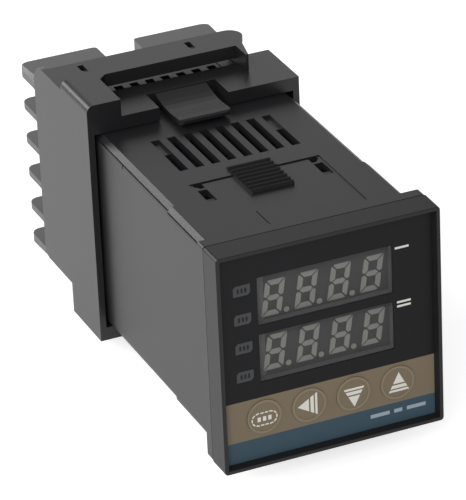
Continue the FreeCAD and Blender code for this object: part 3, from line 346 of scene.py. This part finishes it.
def flat_ring(name, outside, inside, front_y, thickness, material):
    work = bmesh.new()
    back_y = front_y + thickness
    edges = ((outside, front_y), (outside, back_y), (inside, back_y), (inside, front_y))
    loops = [[work.verts.new((x, y, z)) for x, z in path] for path, y in edges]
    for i in range(len(outside)):
        for first, second in zip(loops, loops[1:] + loops[:1]):
            work.faces.new([first[i - 1], first[i], second[i], second[i - 1]])
    return piece_from(name, work, material)


def attach(piece, body):
    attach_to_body(piece, body)


def upright_bar(centre_x, centre_z, width, height):
    corners = ((-1, -1), (1, -1), (1, 1), (-1, 1))
    return [(centre_x + a * width / 2, centre_z + b * height / 2) for a, b in corners]


INK = 0.03 * MM
SHEET_FRONT = SHEET_LOW[1]
print("ink", round(INK / MM, 2), "mm thick on a sheet at", round(SHEET_FRONT / MM, 2), "mm")

# %% [markdown]
# Each arrow is a triangle cut into a tip and two stripes, made from its width at each height, so one
# function serves all three directions.


# %% Arrows on three keys
ARROW_HEIGHT = 4.25 * MM
STRIPES = ((0.0, 0.57), (0.65, 0.82), (0.89, 1.0))


def striped_arrow(centre_x, centre_z, turn, width):
    height = ARROW_HEIGHT
    outlines = []
    for start, end in STRIPES:
        half_start, half_end = width * start / 2, width * end / 2
        top, bottom = height * (0.5 - start), height * (0.5 - end)
        corners = [(-half_end, bottom), (half_end, bottom), (half_start, top)]
        if start > 0:
            corners.append((-half_start, top))
        c, s = math.cos(turn), math.sin(turn)
        outlines.append([(centre_x + c * x - s * z, centre_z + s * x + c * z) for x, z in corners])
    return outlines


def key_centre(name):
    low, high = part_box("key_" + name)
    return (low[0] + high[0]) / 2, (low[2] + high[2]) / 2, low[1] + KEY_RING_PROUD


# Key, turn, width, and how far right and down of the key's middle its arrow is printed, in millimetres
ARROWS = (("shift", math.pi / 2, 5.0, -0.35, 0.0), ("down", math.pi, 4.5, 0.15, 0.85),
          ("up", 0.0, 4.5, 0.3, -0.1))
for name, turn, width, aside, lower in ARROWS:
    x, z, face_y = key_centre(name)
    outlines = striped_arrow(x + aside * MM, z - lower * MM, turn, width * MM)
    attach(flat_piece("mark_" + name, outlines, face_y - INK, INK, white_ink), name + "_key")
print(len(ARROWS), "arrow marks")

# %% [markdown]
# The real sheet runs on over the gap round each key and only bends there. The solids have to leave that gap
# open for the key's motion, so a thin printed ring covers it, and stays with the sheet.

# %% Films round the keys
KEY_FILM_INNER, KEY_FILM_OUTER = 3.74 * MM, 4.1 * MM


def round_path(centre_x, centre_z, radius, steps=48):
    turns = [2 * math.pi * i / steps for i in range(steps)]
    return [(centre_x + radius * math.cos(t), centre_z + radius * math.sin(t)) for t in turns]


for name in ("set", "shift", "down", "up"):
    x, z, face_y = key_centre(name)
    outer, inner = round_path(x, z, KEY_FILM_OUTER), round_path(x, z, KEY_FILM_INNER)
    film = flat_ring("film_round_" + name, outer, inner, SHEET_FRONT - INK, INK, printed_sheet)
    attach(film, "case")
print("four films from", round(KEY_FILM_INNER / MM, 2), "to", round(KEY_FILM_OUTER / MM, 2), "mm")

# %% [markdown]
# Where the frame meets the flange, the parting line gets hardly any light. The groove itself is in the
# solids, and a matt black bead along its edge is painted shade: it gives the thin dark line of the groove's
# shadow.

# %% Parting line behind the frame
SEAM_START, SEAM_END = 0.02 * MM, 0.48 * MM
SEAM_BURIED, SEAM_PROUD = 0.35 * MM, 0.01 * MM
FLANGE_ROUND, CORNER_STEPS = 0.6 * MM, 4


def rounded_path(half, corner):
    path = []
    for quarter in range(4):
        for step in range(CORNER_STEPS + 1):
            t = math.pi / 2 * (quarter + step / CORNER_STEPS)
            centre_x = (half - corner) * (1 if quarter in (0, 3) else -1)
            centre_z = (half - corner) * (1 if quarter in (0, 1) else -1)
            path.append((centre_x + corner * math.cos(t), centre_z + corner * math.sin(t)))
    return path


outside = rounded_path(CASE_HIGH[0] + SEAM_PROUD, FLANGE_ROUND)
inside = rounded_path(CASE_HIGH[0] - SEAM_BURIED, FLANGE_ROUND - SEAM_BURIED)
# The matt black bead is a dark sheet laid where there is only shade: painted shade along the parting line.
dark_gap = finish_material(new_material("painted_shade_in_the_parting_line"), linear("#0a0a0b"), 0.9, IOR=1.05)
bead = flat_ring("parting_line", outside, inside, CASE_LOW[1] + SEAM_START, SEAM_END - SEAM_START, dark_gap)
attach(bead, "case")
print("parting line of", len(outside), "corners")

# %% [markdown]
# What repeats is a job for Geometry Nodes. Each tree gets named inputs for its sizes. It is run once, the
# result is turned into a plain mesh, and the modifier is removed, so the piece is finished like any other.


# %% Geometry Nodes helpers
def geometry_tree(name, sizes):
    tree = bpy.data.node_groups.new(name, "GeometryNodeTree")
    tree.interface.new_socket("Geometry", in_out="OUTPUT", socket_type="NodeSocketGeometry")
    group_in = tree.nodes.new("NodeGroupInput")
    for label, kind in sizes:
        tree.interface.new_socket(label, in_out="INPUT", socket_type=kind)
    return tree, group_in


def run_tree(name, tree, values, material):
    piece = bpy.data.objects.new(name, bpy.data.meshes.new(name))
    bpy.context.scene.collection.objects.link(piece)
    modifier = piece.modifiers.new("build", "NODES")
    modifier.node_group = tree
    for item in tree.interface.items_tree:
        if item.in_out == "INPUT" and item.name in values:
            modifier[item.identifier] = values[item.name]
    bpy.context.view_layer.update()
    result = bpy.data.meshes.new_from_object(piece.evaluated_get(bpy.context.evaluated_depsgraph_get()))
    piece.modifiers.remove(modifier)
    piece.data = result
    if not result.materials:
        result.materials.append(material)
    return piece


print("helpers ready")

# %% [markdown]
# The first key has a broken ring round its mark. A rounded rectangle is resampled to evenly spaced points, a
# small bar is placed at each and turned along the curve, and the instances are made real.


# %% Dashed ring by Geometry Nodes
def dashed_ring(material):
    tree, given = geometry_tree("dashed_ring", (("Width", "NodeSocketFloat"), ("Height", "NodeSocketFloat"),
                                                ("Dashes", "NodeSocketInt"), ("Dash", "NodeSocketVector"),
                                                ("Place", "NodeSocketVector")))
    size = given.outputs
    shape = add_node(tree, "GeometryNodeCurvePrimitiveQuadrilateral",
                     {"Width": size["Width"], "Height": size["Height"]})
    radius = add_node(tree, "ShaderNodeMath", {0: size["Height"], 1: 0.49}, operation="MULTIPLY")
    rounded = add_node(tree, "GeometryNodeFilletCurve",
                       {"Curve": shape.outputs["Curve"], "Radius": radius.outputs[0], "Count": 8},
                       mode="POLY")
    spaced = add_node(tree, "GeometryNodeResampleCurve",
                      {"Curve": rounded.outputs[0], "Count": size["Dashes"]})
    dash = add_node(tree, "GeometryNodeMeshCube", {"Size": size["Dash"]})
    tangent = add_node(tree, "GeometryNodeInputTangent")
    turn = add_node(tree, "FunctionNodeAlignRotationToVector", {"Vector": tangent.outputs[0]}, axis="X")
    placed = add_node(tree, "GeometryNodeInstanceOnPoints",
                      {"Points": spaced.outputs[0], "Instance": dash.outputs["Mesh"],
                       "Rotation": turn.outputs[0]})
    upright = add_node(tree, "GeometryNodeTransform",
                       {"Geometry": placed.outputs[0], "Rotation": (math.pi / 2, 0.0, 0.0),
                        "Translation": size["Place"]})
    real = add_node(tree, "GeometryNodeRealizeInstances", {"Geometry": upright.outputs[0]})
    painted = add_node(tree, "GeometryNodeSetMaterial", {"Geometry": real.outputs[0], "Material": material})
    add_node(tree, "NodeGroupOutput", {0: painted.outputs[0]})
    return tree


RING_LOWER = 0.45 * MM
BLOCK_STEP, BLOCK_WIDTH, BLOCK_HEIGHT = 1.15 * MM, 0.7 * MM, 1.0 * MM

x, z, face_y = key_centre("set")
z -= RING_LOWER
ring = run_tree("mark_set_ring", dashed_ring(white_ink),
                {"Width": 5.3 * MM, "Height": 2.7 * MM, "Dashes": 14, "Dash": (0.72 * MM, 0.28 * MM, INK),
                 "Place": (x, face_y - INK / 2, z)}, white_ink)
attach(ring, "set_key")
blocks = [upright_bar(x + step * BLOCK_STEP, z, BLOCK_WIDTH, BLOCK_HEIGHT) for step in (-1, 0, 1)]
attach(flat_piece("mark_set_blocks", blocks, face_y - INK, INK, white_ink), "set_key")
print("ring of", len(ring.data.polygons), "faces")

# %% [markdown]
# Beside each window is one plain ink mark that tells the two displays apart: one bar for the upper, two
# bars for the lower. Each small indicator has three dark blocks, and the blue band ends in three pale
# dashes.

# %% Marks on the sheet and the indicators
BAR_WIDTH, BAR_HEIGHT, BAR_STEP = 3.0 * MM, 0.45 * MM, 0.9 * MM
LAMPS, LENS_HEIGHT = 4, 2.35 * MM
SMALL_STEP, SMALL_WIDTH, SMALL_HEIGHT = 0.8 * MM, 0.42 * MM, 0.95 * MM
BAND_MARK_Z, BAND_MARK_HEIGHT = -20.0 * MM, 0.8 * MM


def bars_beside(name, left, bottom, count):
    middle_x, lowest_z = left + BAR_WIDTH / 2, bottom + BAR_HEIGHT / 2
    outlines = [upright_bar(middle_x, lowest_z + i * BAR_STEP, BAR_WIDTH, BAR_HEIGHT) for i in range(count)]
    attach(flat_piece(name, outlines, SHEET_FRONT - INK, INK, white_ink), "case")


bars_beside("mark_upper", 14.7 * MM, 16.0 * MM, 1)
bars_beside("mark_lower", 14.9 * MM, 3.1 * MM, 2)

lens_low, lens_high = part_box("indicator_lenses")
lens_x = (lens_low[0] + lens_high[0]) / 2
lens_step = (lens_high[2] - lens_low[2] - LENS_HEIGHT) / (LAMPS - 1)
small_blocks = [upright_bar(lens_x + a * SMALL_STEP, lens_low[2] + LENS_HEIGHT / 2 + i * lens_step,
                            SMALL_WIDTH, SMALL_HEIGHT) for i in range(LAMPS) for a in (-1, 0, 1)]
attach(flat_piece("mark_indicators", small_blocks, lens_low[1] - INK, INK, dark_ink), "case")

dashes = [upright_bar(middle * MM, BAND_MARK_Z, length * MM, BAND_MARK_HEIGHT)
          for middle, length in ((10.6, 4.2), (14.6, 1.8), (18.6, 4.2))]
attach(flat_piece("mark_band", dashes, SHEET_FRONT - INK, INK, pale_ink), "case")
print("window, indicator and band marks placed")

# %% [markdown]
# The boards' outer faces carry rows of solder joints where the headers come through. They repeat at the
# standard 2.54 mm, so they are domes on a line of points.


# %% Solder joints by Geometry Nodes
def joint_row(material):
    tree, given = geometry_tree("joint_row", (("Count", "NodeSocketInt"), ("Pitch", "NodeSocketVector"),
                                              ("Start", "NodeSocketVector"), ("Radius", "NodeSocketFloat")))
    size = given.outputs
    line = add_node(tree, "GeometryNodeMeshLine",
                    {"Count": size["Count"], "Start Location": size["Start"], "Offset": size["Pitch"]})
    dome = add_node(tree, "GeometryNodeMeshUVSphere", {"Segments": 10, "Rings": 6, "Radius": size["Radius"]})
    placed = add_node(tree, "GeometryNodeInstanceOnPoints",
                      {"Points": line.outputs["Mesh"], "Instance": dome.outputs["Mesh"]})
    real = add_node(tree, "GeometryNodeRealizeInstances", {"Geometry": placed.outputs[0]})
    painted = add_node(tree, "GeometryNodeSetMaterial", {"Geometry": real.outputs[0], "Material": material})
    add_node(tree, "NodeGroupOutput", {0: painted.outputs[0]})
    return tree


joint_tree = joint_row(solder)
HEADER_PITCH, HEADER_PINS = 2.54 * MM, 11
HEADER_FROM_EDGE, JOINT_RADIUS = 1.3 * MM, 0.55 * MM
for name, side in (("power_board", -1), ("control_board", 1)):
    low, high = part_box(name)
    outer_x = low[0] if side < 0 else high[0]
    start = (outer_x, low[1] + HEADER_FROM_EDGE, -HEADER_PITCH * (HEADER_PINS - 1) / 2)
    row = run_tree("solder_" + name, joint_tree,
                   {"Count": HEADER_PINS, "Pitch": (0.0, 0.0, HEADER_PITCH), "Start": start,
                    "Radius": JOINT_RADIUS}, solder)
    attach(row, "case")

# %% [markdown]
# The studio is a white table and a white surround. What the camera sees as background is white by a Light
# Path switch, so the lamps can stay at the level at which a colour renders about as it is written.

# %% Floor and world
FLOOR_Z = solid_bounds[0][2]
TABLE_HALF = 4.0
TABLE_GLOW, TABLE_MIRRORED = 0.70, 0.8
AMBIENT = 0.30


def seen_directly(tree, mirrored=1.0):
    path = add_node(tree, "ShaderNodeLightPath").outputs
    shine = add_node(tree, "ShaderNodeMath", {0: path["Is Glossy Ray"], 1: mirrored}, operation="MULTIPLY")
    first = add_node(tree, "ShaderNodeMath", {0: path["Is Camera Ray"], 1: shine.outputs[0]},
                     operation="MAXIMUM")
    both = add_node(tree, "ShaderNodeMath", {0: first.outputs[0], 1: path["Is Transmission Ray"]},
                    operation="MAXIMUM")
    return both.outputs[0]


def white_table():
    material = new_material("white_paper_table")
    tree = material.node_tree
    paper = add_node(tree, "ShaderNodeBsdfDiffuse", {"Color": linear("#d2d2d2")})
    lift = add_node(tree, "ShaderNodeMath", {0: seen_directly(tree, TABLE_MIRRORED), 1: TABLE_GLOW},
                    operation="MULTIPLY")
    glow = add_node(tree, "ShaderNodeEmission", {"Color": (1, 1, 1, 1), "Strength": lift.outputs[0]})
    both = add_node(tree, "ShaderNodeAddShader", {0: paper.outputs[0], 1: glow.outputs[0]})
    add_node(tree, "ShaderNodeOutputMaterial", {"Surface": both.outputs[0]})
    return material


mesh = bpy.data.meshes.new("table")
corners = ((-1, -1), (1, -1), (1, 1), (-1, 1))
mesh.from_pydata([(a * TABLE_HALF, b * TABLE_HALF, FLOOR_Z) for a, b in corners], [], [(0, 1, 2, 3)])
table = bpy.data.objects.new("table", mesh)
bpy.context.scene.collection.objects.link(table)
mesh.materials.append(white_table())

world = bpy.data.worlds.new("white_surround")
world.use_nodes = True
world.node_tree.nodes.clear()
level = add_node(world.node_tree, "ShaderNodeMapRange",
                 {"Value": seen_directly(world.node_tree, 0.0), "To Min": AMBIENT, "To Max": 1.0})
surround = add_node(world.node_tree, "ShaderNodeBackground",
                    {"Color": (1, 1, 1, 1), "Strength": level.outputs["Result"]})
add_node(world.node_tree, "ShaderNodeOutputWorld", {"Surface": surround.outputs[0]})
bpy.context.scene.world = world
bpy.context.scene.view_settings.view_transform = "Standard"
print("floor at", round(FLOOR_Z / MM, 2), "mm")

# %% [markdown]
# Four large soft lamps: a key high on the left, a low weak one behind, which skims the tops and leaves the
# foot of the collar in shade, one behind on the left for the long bevels, and a fill beside the camera that
# shows the front in its own colours. A lamp's power grows with the square of its distance, so each is given
# as the brightness that it adds to a white face.


# %% Lamps
LAMP_TARGET = Vector((0.0, 40.0, 0.0)) * MM


def soft_lamp(name, place, size, brightness):
    data = bpy.data.lights.new(name, "AREA")
    data.shape = "SQUARE"
    data.size = size
    aim = LAMP_TARGET - Vector(place)
    data.energy = brightness * math.pi ** 2 * aim.length_squared
    lamp = bpy.data.objects.new(name, data)
    bpy.context.scene.collection.objects.link(lamp)
    lamp.matrix_world = Matrix.Translation(place) @ aim.to_track_quat("-Z", "Y").to_matrix().to_4x4()


soft_lamp("key_left", (-0.80, 0.10, 0.56), 0.6, 0.50)
soft_lamp("low_behind", (0.22, 0.95, 0.32), 0.6, 0.08)
soft_lamp("edge_behind_left", (-0.46, 0.82, 0.36), 0.4, 0.30)
soft_lamp("fill_front", (-0.42, -0.72, 0.55), 0.6, 0.58)
print("four lamps")

# %% [markdown]
# The camera stands where the photograph's stood, worked out from the corners of the front frame, which is
# 48 mm square. It is a long lens from about three quarters of a metre, tilted a little.

# %% Camera
AZIMUTH, ELEVATION, ROLL = -22.670, 27.279, -2.628
DISTANCE = 762.616 * MM
SHIFT_RIGHT, SHIFT_UP = 19.456 * MM, -17.988 * MM
TARGET = Vector((0.0, -9.0, 0.0)) * MM
PHOTO_HEIGHT_PX, FOCAL_PX, SENSOR_MM = 500, 3900, 36.0


def photo_axes():
    a, e, r = (math.radians(v) for v in (AZIMUTH, ELEVATION, ROLL))
    back = Vector((math.sin(a) * math.cos(e), -math.cos(a) * math.cos(e), math.sin(e)))
    level_x = Vector((0, 0, 1)).cross(back).normalized()
    level_y = back.cross(level_x)
    right = math.cos(r) * level_x + math.sin(r) * level_y
    up = -math.sin(r) * level_x + math.cos(r) * level_y
    return right, up, back


right, up, back = photo_axes()
camera_data = bpy.data.cameras.new("portrait")
camera_data.sensor_width = SENSOR_MM
camera_data.lens = FOCAL_PX / PHOTO_HEIGHT_PX * SENSOR_MM
camera_data.clip_start = 0.01
camera = bpy.data.objects.new("portrait", camera_data)
bpy.context.scene.collection.objects.link(camera)
stand = TARGET + back * DISTANCE - right * SHIFT_RIGHT - up * SHIFT_UP
turned = Matrix((right, up, back)).transposed().to_4x4()
camera.matrix_world = Matrix.Translation(stand) @ turned
bpy.context.scene.camera = camera
print("camera at", [round(v / MM, 1) for v in stand])
